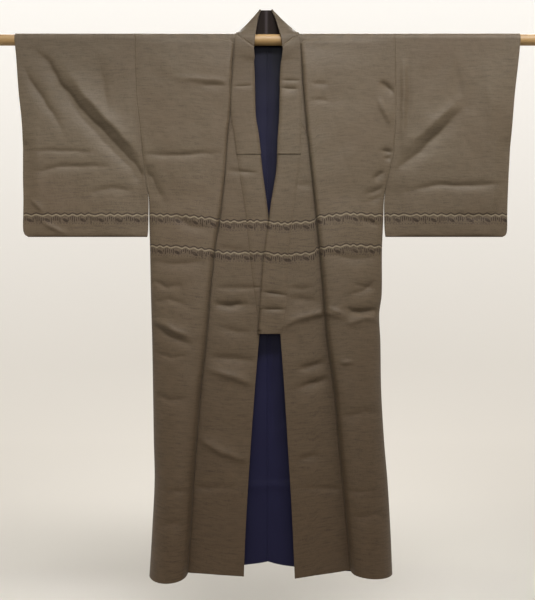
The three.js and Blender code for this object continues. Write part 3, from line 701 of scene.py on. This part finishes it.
def run_of(levels, step):
    """Evenly spaced levels through a list of turning levels."""
    out = [levels[0]]
    for a, b in zip(levels, levels[1:]):
        count = max(1, round(abs(b - a) / step))
        out += list(np.linspace(a, b, count + 1)[1:])
    return out


NECK_COLUMNS = 14
ROUND_ROWS = 16
NECK_TURN = math.pi / 4
BACK_STEP = 8
FRONT_STEP = 4
PANEL_ACROSS = 300


def body_panel(s, name):
    """One body panel: up the back, half round the pole, and down the front with its pleat."""
    width = len(front_section(s, -500.0))
    neck = HALF_NECK / float(at(s["front"], "side", 0))
    neck_part = np.linspace(0, neck, NECK_COLUMNS, endpoint=False)
    shares = np.concatenate([neck_part, np.linspace(neck, 1, width)])
    back_levels = run_of([-HEM_DROP, -ARMHOLE_DROP, 0], BACK_STEP)
    front_levels = run_of([0, -ARMHOLE_DROP, -HEM_DROP], FRONT_STEP)[1:]
    rows, down = [], []
    for z in back_levels:
        rows.append(back_points(s, shares, z))
        down.append(-z)
    start = front_section(s, 0.0)[:, 0]
    side = float(at(s["front"], "side", 0)) - SEWN
    for k in range(1, ROUND_ROWS + 1):
        turn = math.pi * k / ROUND_ROWS
        shift = ease((turn - NECK_TURN) / (math.pi - NECK_TURN))
        u = mix(0, side, shares)
        u[NECK_COLUMNS:] = mix(u[NECK_COLUMNS:], start, shift)
        y = np.full(len(u), CLOTH_ROUND * math.cos(turn))
        row = np.stack([s["sign"] * u, y, np.full(len(u), CLOTH_ROUND * math.sin(turn))], 1)
        if turn > NECK_TURN + 0.01:
            row[:NECK_COLUMNS] = np.nan
        rows.append(row)
        down.append(0)
    outer = width - ROLL_COLUMNS - 1
    for z in front_levels:
        section = front_section(s, z)
        t = np.clip((np.arange(width) - outer) / ROLL_COLUMNS, 0, 1)
        hem = mix(s["hem"]["fold"], s["hem"]["side"], (1 - np.cos(np.pi * t)) / 2)
        hem = hem + s["hem"]["roll"] * np.sin(np.pi * t)
        x = s["sign"] * section[:, 0]
        edge = np.clip((1 - t) * EDGE_CALM, 0, 1) * ease(np.arange(width) - outer + 3)
        most = np.clip(FRONT_PUSH * room_behind(s, section[:, 0], z) - ROOM_KEPT, 0, MOST_PUSH)
        y = section[:, 1] + np.minimum(relief(x, np.full(width, z)) * edge, most)
        row = np.full((len(shares), 3), np.nan)
        row[NECK_COLUMNS:] = np.stack([x, y, z + hem_share(z) * hem], 1)
        rows.append(row)
        down.append(-z)
    grid = np.array(rows)
    depth = np.array(down, float)[:, None] * np.ones(len(shares))
    across = PANEL_ACROSS * shares[None, :] * np.ones((len(rows), 1))
    front = np.arange(len(rows)) >= len(back_levels) + ROUND_ROWS
    for i in np.nonzero(front)[0]:
        step = np.linalg.norm(np.diff(grid[i, NECK_COLUMNS:, :2], axis=0), axis=1)
        across[i, NECK_COLUMNS:] = HALF_NECK + np.concatenate([[0], np.cumsum(step)])
        depth[i] -= band_sag(np.nan_to_num(grid[i, :, 0]))
    silks = [body_silk, navy_silk]
    piece = cloth_sheet(name, grid, s["sign"] * across, depth, CLOTH, silks, s["sign"] < 0)
    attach(piece, "root")
    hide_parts(name)
    return piece


body_right = body_panel(SIDES["right"], "body_right")
body_left = body_panel(SIDES["left"], "body_left")

# Overlap panels
# A long narrow panel of the same silk on each front, cut to a point at the top, where it runs under
# the collar. Its seam to the body panel lies hidden at the pleat's edge.
OKUMI_COLUMNS = 30
OKUMI_STEP = 5
OKUMI_ACROSS = 600
LAP_RUN = 45


def overlap_panel(s, name):
    """One overlap panel, level by level from its tip to the hem."""
    rows, down, across = [], [], []
    for z in run_of([-KENSAKI_DROP - 4, -HEM_DROP], OKUMI_STEP):
        outer = float(inner_edge(s, z)) - SEAM_GAP
        lap = COLLAR_LAP * (1 - float(ease((-z - COLLAR_END + LAP_RUN) / LAP_RUN)))
        if z > -COLLAR_END:
            inner = float(at(s["collar"], "seam", z)) - lap
        else:
            inner = float(at(s["edge"], "edge", z))
        t = np.arange(OKUMI_COLUMNS + 1) / OKUMI_COLUMNS
        u = mix(inner, outer, t)
        x = s["sign"] * u
        y = float(at(PLANES, s["plane"], z)) + relief(x, np.full(len(x), z)) * ease((1 - t) * 8)
        low = z + hem_share(z) * mix(s["hem"]["edge"], s["hem"]["fold"], t)
        rows.append(np.stack([x, y, low], 1))
        down.append(-z - band_sag(x))
        across.append(s["sign"] * (OKUMI_ACROSS + u))
    grid, across, down = np.array(rows), np.array(across), np.array(down)
    piece = cloth_sheet(name, grid, across, down, CLOTH, [body_silk, navy_silk], s["sign"] < 0)
    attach(piece, "root")
    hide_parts(name)
    return piece


okumi_right = overlap_panel(SIDES["right"], "okumi_right")
okumi_left = overlap_panel(SIDES["left"], "okumi_left")

# Sleeves
# One length of silk a side, folded over the pole, sewn shut along its foot, below the hand at the
# cuff and, on a man's kimono, for the lowest hand's breadth beside the body.
SLEEVE_DROP = 495
SLEEVE_COLUMNS = 90
SLEEVE_STEP = 4
SLEEVE_ACROSS = 1000
FOOT_ROUND = 8
FOOT_ROWS = 8
SEWN_TO_BODY = 350
CUFF_SHARE = 0.14
ARM_SHARE = 0.28
SLEEVE_BANDS = (0.4375,)
sleeve_silk = silk("olive_silk_sleeve", SLEEVE_BANDS)


def sleeve(s, name):
    """One sleeve: a closed ring of rows over the pole, down the front, round the foot and up the back."""
    t = np.arange(SLEEVE_COLUMNS + 1) / SLEEVE_COLUMNS
    t = mix(t, (1 - np.cos(np.pi * t)) / 2, EVEN_COLUMNS)
    levels = run_of([0, -SLEEVE_DROP + FOOT_ROUND], SLEEVE_STEP)[1:]
    rows, down = [], []
    for k in range(ROUND_ROWS + 1):
        turn = math.pi * k / ROUND_ROWS
        u = mix(at(s["sleeve"], "cuff", 0), at(s["front"], "side", 0) + SEWN, t)
        y = np.full(len(t), CLOTH_ROUND * math.cos(turn))
        rows.append(np.stack([s["sign"] * u, y, np.full(len(t), CLOTH_ROUND * math.sin(turn))], 1))
        down.append(0)
    foot = [math.pi * k / FOOT_ROWS for k in range(1, FOOT_ROWS)]
    ring = [(z, -1) for z in levels]
    ring += [(-SLEEVE_DROP + FOOT_ROUND * (1 - math.sin(a)), -math.cos(a)) for a in foot]
    ring += [(z, 1) for z in reversed(levels)]
    for z, face in ring:
        arm = at(s["front"], "side", z) if z >= -SEWN_TO_BODY else at(s["sleeve"], "arm", z)
        u = mix(at(s["sleeve"], "cuff", z), arm + SEWN, t)
        middle = at(DEPTHS, "middle", z)
        cuff = ease(1 - t / CUFF_SHARE)
        inner = ease((t - 1 + ARM_SHARE) / ARM_SHARE)
        half = middle + cuff * (at(DEPTHS, "cuff", z) - middle) + inner * (at(DEPTHS, "arm", z) - middle)
        x = s["sign"] * u
        push = relief(x, np.full(len(t), z), face > 0) * (1 - cuff) * abs(face)
        push = np.minimum(push * np.clip((1 - t) * 14, 0.25, 1), half - PINCHED)
        rows.append(np.stack([x, face * (half - push), np.full(len(t), z)], 1))
        down.append(-z)
    across = np.array([s["sign"] * (SLEEVE_ACROSS + row[:, 0] * s["sign"]) for row in rows])
    depth = np.array(down, float)[:, None] * np.ones(len(t))
    silks = [sleeve_silk, navy_silk]
    piece = cloth_sheet(name, np.array(rows), across, depth, CLOTH, silks, s["sign"] > 0, True)
    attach(piece, "root")
    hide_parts(name)
    return piece


sleeve_right = sleeve(SIDES["right"], "sleeve_right")
sleeve_left = sleeve(SIDES["left"], "sleeve_left")

# Collar
# One long double band of the silk, stood up behind the pole at the neck, turned over at each
# shoulder and hung down both fronts. An over-collar of the same silk covers it round the neck, and
# a dark facing lines the stood-up part.
COLLAR_ROUND = CLOTH_ROUND + COLLAR_SEAT
OVER_COLLAR_END = 289
OVER_COLLAR_WALL = 1.2
FACING_WALL = 1
HALF_FACING = 65
BAND_ACROSS = 14
BAND_STEP = 2.2
FREE_EDGE_LEAD = 1.5
LOW_TURN = math.pi / 6
COLLAR_ACROSS = 2000
collar_silk = silk("olive_silk_collar", BODY_BANDS)


def neck_band(s):
    """Rows of the band round the neck: its sewn edge and its free edge, outward, back and up."""
    low = (COLLAR_ROUND * math.cos(LOW_TURN), COLLAR_ROUND * math.sin(LOW_TURN))
    top, turn = s["neck_top"], s["neck_turn"]
    return [
        ((34, *low), (top - 7, 19.6, 80)),
        ((61, *low), (top - 4, 19.6, 80)),
        ((70, 14.5, 12.5), (top - 2, 17.5, 81.5)),
        ((73, 10, 16.6), (top - 2, 14, 78.5)),
        ((74.5, 3.7, 19.2), (mix(top, turn, 0.3), 6, 55)),
        ((76, -3.7, 19.2), (mix(top, turn, 0.6), -9, 26)),
        ((77.5, -11.5, 16.5), (mix(top, turn, 0.85), -21, 0)),
        ((79.5, -16.8, 10.5), (turn, -24.5, -26)),
        ((81, -19.4, -6), (turn - 1, -24, -36)),
        ((82, -19, -30), (turn - 2, -22.5, -48)),
    ]


def band_edges(s):
    """Both edges of the band from mid back down one front."""
    side = (s["sign"], 1, 1)
    edges = [(np.array(a, float) * side, np.array(b, float) * side) for a, b in neck_band(s)]
    for z, seam, free in zip(s["collar"]["z"], s["collar"]["seam"], s["collar"]["free"]):
        y = float(at(PLANES, s["plane"], z)) - COLLAR_SEAT
        lead = FREE_EDGE_LEAD * (1 - float(ease((-z - 60) / 200)))
        edges.append((np.array((s["sign"] * seam, y, z)), np.array((s["sign"] * free, y - lead, z))))
    return edges


def smoothed(rows, step):
    """Rows of the band at even steps on a smooth curve through the rows given."""
    points = np.array(rows)
    middle = points.mean(axis=1)
    lengths = np.linalg.norm(np.diff(middle, axis=0), axis=1)
    out = [points[0]]
    for k, length in enumerate(lengths):
        before, a, b, after = (points[min(max(i, 0), len(points) - 1)] for i in (k - 1, k, k + 1, k + 2))
        into = (b - before) * min(1, length / (length + lengths[max(k - 1, 0)]))
        away = (after - a) * min(1, length / (length + lengths[min(k + 1, len(lengths) - 1)]))
        count = max(2, round(length / step))
        for i in range(1, count + 1):
            t = i / count
            rise = t * t * (3 - 2 * t)
            out.append(mix(a, b, rise) + into * t * (1 - t) ** 2 - away * t * t * (1 - t))
    return np.array(out)


# Where the stood-up collar turns over at the shoulder: a slanting crease, with the part above it
# standing a little proud of the part that hangs
TURN_IN = 37
TURN_LOW = -22
TURN_RUN = 37
TURN_RISE = 29
TURN_STEP = 4.2
TURN_FADE = 16
EDGE_LEAD = 6
EDGE_DROPS = (3.6, 0.9)


def band_grid():
    """Points of the band's middle layer, in rows along it from the right front to the left one."""
    right, left = band_edges(SIDES["right"])[::-1], band_edges(SIDES["left"])
    top = (SIDES["left"]["neck_top"] - SIDES["right"]["neck_top"]) / 2
    low = np.array((0, COLLAR_ROUND * math.cos(LOW_TURN), COLLAR_ROUND * math.sin(LOW_TURN)))
    rows = right + [(low, np.array((top, 19.8, 80)))] + left
    edges = smoothed([np.array(row) for row in rows], BAND_STEP)
    share = np.arange(BAND_ACROSS + 1) / BAND_ACROSS
    grid = edges[:, None, 0] + (edges[:, None, 1] - edges[:, None, 0]) * share[None, :, None]
    off = np.hypot(grid[:, :, 1], grid[:, :, 2])
    least = COLLAR_ROUND + 0.6
    out = np.maximum(1, least / off)
    grid[:, :, 1] *= out
    grid[:, :, 2] *= out
    hanging = grid[:, :, 1] < 0
    grid[:, :, 1] += relief(grid[:, :, 0], grid[:, :, 2]) * hanging
    drop = ease((-grid[:, :, 2] - 40) / 60) * hanging
    lead = EDGE_LEAD * ease((-grid[:, :, 2] - 330) / 200) * (grid[:, :, 0] > grid[0, 0, 0]) * hanging
    grid[:, :, 1] -= lead * (grid[:, -1:, 0] < grid[:, :1, 0]) * share ** 2
    grid[:, -1, 1] += EDGE_DROPS[0] * drop[:, -1]
    grid[:, -2, 1] += EDGE_DROPS[1] * drop[:, -2]
    side = np.abs(grid[:, :, 0])
    above = (grid[:, :, 2] - TURN_LOW) * TURN_RUN - (side - TURN_IN) * TURN_RISE
    above = above / math.hypot(TURN_RUN, TURN_RISE)
    over = np.where(above > 0, np.exp(-above / TURN_FADE), 0) * (grid[:, :, 1] < 6)
    return moved_out(grid, -TURN_STEP * over[:, :, None])


def moved_out(grid, distance):
    """A layer that lies on the band, moved out along its normals."""
    along = np.gradient(grid, axis=0)
    across = np.gradient(grid, axis=1)
    normal = np.cross(across, along)
    normal /= np.linalg.norm(normal, axis=2, keepdims=True)
    return grid + normal * distance


def band_coordinates(grid):
    """The band's own cloth coordinates, so that its weave lies level as it hangs."""
    return COLLAR_ACROSS + grid[:, :, 0], -grid[:, :, 2] - band_sag(grid[:, :, 0])


# The band's sewn edge is pressed thinner below the chest, its under side kept where it is
THIN_EDGE = (0.30, 0.62, 0.9)
THIN_START = 120
THIN_RUN = 120
band = band_grid()
middle_row = len(band) // 2
band_outward = 1 if moved_out(band, 1)[middle_row, 3, 1] > band[middle_row, 3, 1] else -1
thin = np.ones(band.shape[:2])
low = ease((-band[:, 0, 2] - THIN_START) / THIN_RUN)
for column, share in enumerate(THIN_EDGE):
    thin[:, column] = 1 - (1 - share) * low
outward = moved_out(band, band_outward) - band
turned_under = (-(1 - thin) * COLLAR_WALL / 2)[:, :, None]
lowered = band + outward * turned_under
silks = [collar_silk, collar_silk]
collar = cloth_sheet("collar", lowered, *band_coordinates(band), COLLAR_WALL, silks, thin=thin)

over_rows = moved_out(band, band_outward * (COLLAR_WALL / 2 + SEAM_GAP + OVER_COLLAR_WALL / 2))
over_rows = over_rows + outward * 2 * turned_under
over_rows = over_rows[band[:, 0, 2] > -OVER_COLLAR_END - 2]
over_flat = band_coordinates(over_rows)
over_collar = cloth_sheet("over_collar", over_rows, *over_flat, OVER_COLLAR_WALL, silks)


def facing_silk():
    """The dark facing inside the neck, with one lighter streak down its middle, a painted highlight for
    the sheen on a fold.
    """
    material = bpy.data.materials.new("neck_facing")
    material.use_nodes = True
    tree, calc, grain, blend, bump = node_maker(material)
    shader = tree.nodes["Principled BSDF"]
    flat = tree.nodes.new("ShaderNodeUVMap")
    flat.uv_map = "cloth"
    weave = grain(flat.outputs[0], 1, 2, (500, 500, 1))
    split = tree.nodes.new("ShaderNodeSeparateXYZ")
    tree.links.new(tree.nodes.new("ShaderNodeTexCoord").outputs["Object"], split.inputs[0])
    # Painted highlight: a lighter streak near x = -3 mm stands for the sheen on a fold of the facing.
    wear_and_highlight = calc("POWER", calc("DIVIDE", calc("ADD", split.outputs[0], 0.003), 0.0035), 2.0)
    wear_and_highlight = calc("MULTIPLY", calc("POWER", math.e, calc("MULTIPLY", wear_and_highlight, -1.0)), 0.45)
    colour = blend(weave, (0.007, 0.004, 0.003, 1), (0.018, 0.012, 0.009, 1))
    tree.links.new(blend(wear_and_highlight, colour, (0.085, 0.070, 0.075, 1)), shader.inputs["Base Color"])
    shader.inputs["Roughness"].default_value = 0.75
    shader.inputs["Specular IOR Level"].default_value = 0.12
    tree.links.new(bump(weave, 0.3, 0.0005), shader.inputs["Normal"])
    return material


facing_rows = moved_out(band, -band_outward * (COLLAR_WALL / 2 + SEAM_GAP + FACING_WALL / 2))
behind = band[:, 0, 1] > COLLAR_ROUND * math.cos(LOW_TURN) - 0.2
facing_rows = facing_rows[behind & (np.abs(band[:, 0, 0]) < HALF_FACING)]
facing_flat = band_coordinates(facing_rows)
neck_facing = cloth_sheet("neck_facing", facing_rows, *facing_flat, FACING_WALL, [facing_silk()])
for piece, node, slot, flat, area in (
    (collar, "collar", "silk", (0.058, 1.74), 0.101),
    (over_collar, "over_collar", "silk", (0.058, 0.90), 0.0522),
    (neck_facing, "neck_facing", "facing", (0.13, 0.072), 0.0058),
):
    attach(piece, "root")
    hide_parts(node)

# Lining
# The back is lined in navy silk in two lengths with a centre seam, and the lining shows as a
# two-millimetre edge below the hem.
LINING_WALL = 1
LINING_COLUMNS = 56
LINING_REACH = 0.9
LINING_TOP = 9
HEM_LINING = 2
RIDGE_HEIGHT = 1.6
RIDGE_WIDTH = 5


def back_lining(s, name):
    """Half of the back's lining, with the seam allowance raised along the centre of the left half."""
    shares = np.linspace(0, LINING_REACH, LINING_COLUMNS)
    rows = []
    for z in run_of([-LINING_TOP, -ARMHOLE_DROP, -HEM_DROP], BACK_STEP):
        rows.append(back_points(s, shares, z))
    grid = np.array(rows)
    offset = CLOTH / 2 + SEAM_GAP + LINING_WALL / 2
    grid = moved_out(grid, offset * (1 if moved_out(grid, 1)[40, 5, 1] < grid[40, 5, 1] else -1))
    grid[-1, :, 2] -= HEM_LINING
    if s["sign"] > 0:
        grid[:, :, 1] -= RIDGE_HEIGHT * np.exp(-(np.abs(grid[:, :, 0]) / RIDGE_WIDTH) ** 2)
    across = s["sign"] * PANEL_ACROSS * shares[None, :] * np.ones((len(rows), 1))
    down = -grid[:, :, 2]
    piece = cloth_sheet(name, grid, across, down, LINING_WALL, [navy_silk])
    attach(piece, "root")
    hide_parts(name)
    return piece


lining_right = back_lining(SIDES["right"], "lining_right")
lining_left = back_lining(SIDES["left"], "lining_left")

# Pole
# A planed round pole of pale softwood, left bare, with its grain along it. It runs through both
# sleeves, and the cloth lies over it. It is the solid itself, with its wood on it.
PINE = (0.36, 0.225, 0.088, 1)
PINE_DARK = (0.25, 0.145, 0.052, 1)
wood = bpy.data.materials.new("pale_pine")
wood.use_nodes = True
tree, calc, grain, blend, bump = node_maker(wood)
place = tree.nodes.new("ShaderNodeTexCoord").outputs["Object"]
figure = grain(place, 1, 4, (2.2, 90, 90))
fibre = grain(place, 1, 2, (14, 900, 900))
shader = tree.nodes["Principled BSDF"]
tone = calc("MULTIPLY_ADD", figure, 1.1, calc("MULTIPLY_ADD", fibre, 0.4, -0.3))
tree.links.new(blend(tone, PINE, PINE_DARK), shader.inputs["Base Color"])
tree.links.new(calc("MULTIPLY_ADD", fibre, 0.2, 0.36), shader.inputs["Roughness"])
tree.links.new(bump(fibre, 0.15, 0.0005), shader.inputs["Normal"])
pole = bpy.data.objects["pole"]
pole.data.materials.clear()
pole.data.materials.append(wood)

# Floor, light and camera
# A plain pale floor that sweeps up behind and glows a little, as a lit wall does. Wide soft lamps
# stand in front and behind, and a narrow one above each side shows the creases.
FLOOR = -1.62
FLOOR_REACH = 40
SWEEP_START = 2.2
SWEEP_ROUND = 2.4
SWEEP_TOP = 5.0
SWEEP_STEPS = 24
profile = [(-FLOOR_REACH, FLOOR), (SWEEP_START, FLOOR)]
for k in range(1, SWEEP_STEPS + 1):
    turn = math.pi / 2 * k / SWEEP_STEPS
    height = FLOOR + SWEEP_ROUND * (1 - math.cos(turn))
    profile.append((SWEEP_START + SWEEP_ROUND * math.sin(turn), height))
profile.append((SWEEP_START + SWEEP_ROUND, SWEEP_TOP))
points = [(x, y, z) for y, z in profile for x in (-FLOOR_REACH, FLOOR_REACH)]
faces = [(2 * k, 2 * k + 1, 2 * k + 3, 2 * k + 2) for k in range(len(profile) - 1)]
floor_mesh = bpy.data.meshes.new("floor")
floor_mesh.from_pydata(points, [], faces)
for face in floor_mesh.polygons:
    face.use_smooth = True
floor = bpy.data.objects.new("floor", floor_mesh)
bpy.context.scene.collection.objects.link(floor)
paint = bpy.data.materials.new("floor_paint")
paint.use_nodes = True
tree, calc, grain, blend, bump = node_maker(paint)
shader = tree.nodes["Principled BSDF"]
split = tree.nodes.new("ShaderNodeSeparateXYZ")
tree.links.new(tree.nodes.new("ShaderNodeTexCoord").outputs["Object"], split.inputs[0])
back = calc("MINIMUM", calc("MAXIMUM", calc("MULTIPLY_ADD", split.outputs[1], 0.42, -0.3), 0.0), 1.0)
rise = calc("MINIMUM", calc("MAXIMUM", calc("MULTIPLY_ADD", split.outputs[2], 0.30, 0.45), 0.0), 1.0)
glow = blend(rise, (0.30, 0.275, 0.245, 1), (0.71, 0.70, 0.685, 1))
tree.links.new(blend(back, (0.0, 0.0, 0.0, 1), glow), shader.inputs["Emission Color"])
shader.inputs["Emission Strength"].default_value = 1.0
shader.inputs["Base Color"].default_value = (0.60, 0.57, 0.52, 1)
shader.inputs["Roughness"].default_value = 0.9
shader.inputs["Specular IOR Level"].default_value = 0.1
floor_mesh.materials.append(paint)

world = bpy.data.worlds.new("studio")
world.use_nodes = True
tree, calc, grain, blend, bump = node_maker(world)
split = tree.nodes.new("ShaderNodeSeparateXYZ")
tree.links.new(tree.nodes.new("ShaderNodeTexCoord").outputs["Generated"], split.inputs[0])
height = calc("MAXIMUM", split.outputs[2], 0.0)
glow = blend(height, (0.46, 0.45, 0.43, 1), (0.70, 0.70, 0.69, 1))
tree.links.new(glow, tree.nodes["Background"].inputs["Color"])
bpy.context.scene.world = world
bpy.context.scene.view_settings.view_transform = "Standard"


def soft_light(name, place, aim, size, power, spread):
    lamp = bpy.data.lights.new(name, "AREA")
    lamp.shape = "RECTANGLE"
    lamp.size, lamp.size_y = size
    lamp.energy = power
    lamp.spread = math.radians(spread)
    light = bpy.data.objects.new(name, lamp)
    light.location = place
    light.visible_camera = False
    light.rotation_euler = (Vector(aim) - Vector(place)).to_track_quat("-Z", "Y").to_euler()
    bpy.context.scene.collection.objects.link(light)


soft_light("key", (0.22, -0.95, 0.85), (0.05, 0, -0.34), (2.2, 0.3), 6.9, 46)
soft_light("front", (0, -3.4, 0.2), (0, 0, -0.7), (1.6, 1.2), 13, 180)
soft_light("rear_key", (0, 0.95, 0.85), (0, 0, -0.26), (2.2, 0.3), 5.6, 44)
soft_light("rear", (0, 3.0, 0.6), (0, 0, -0.7), (1.6, 1.2), 16, 180)

CAMERA_DISTANCE = 2.416
CAMERA_HEIGHT = -0.6543
LENS = 57.6
view = bpy.data.cameras.new("camera")
view.lens = LENS
camera = bpy.data.objects.new("camera", view)
camera.location = (0, -CAMERA_DISTANCE, CAMERA_HEIGHT)
camera.rotation_euler = (math.pi / 2, 0, 0)
bpy.context.scene.collection.objects.link(camera)
bpy.context.scene.camera = camera
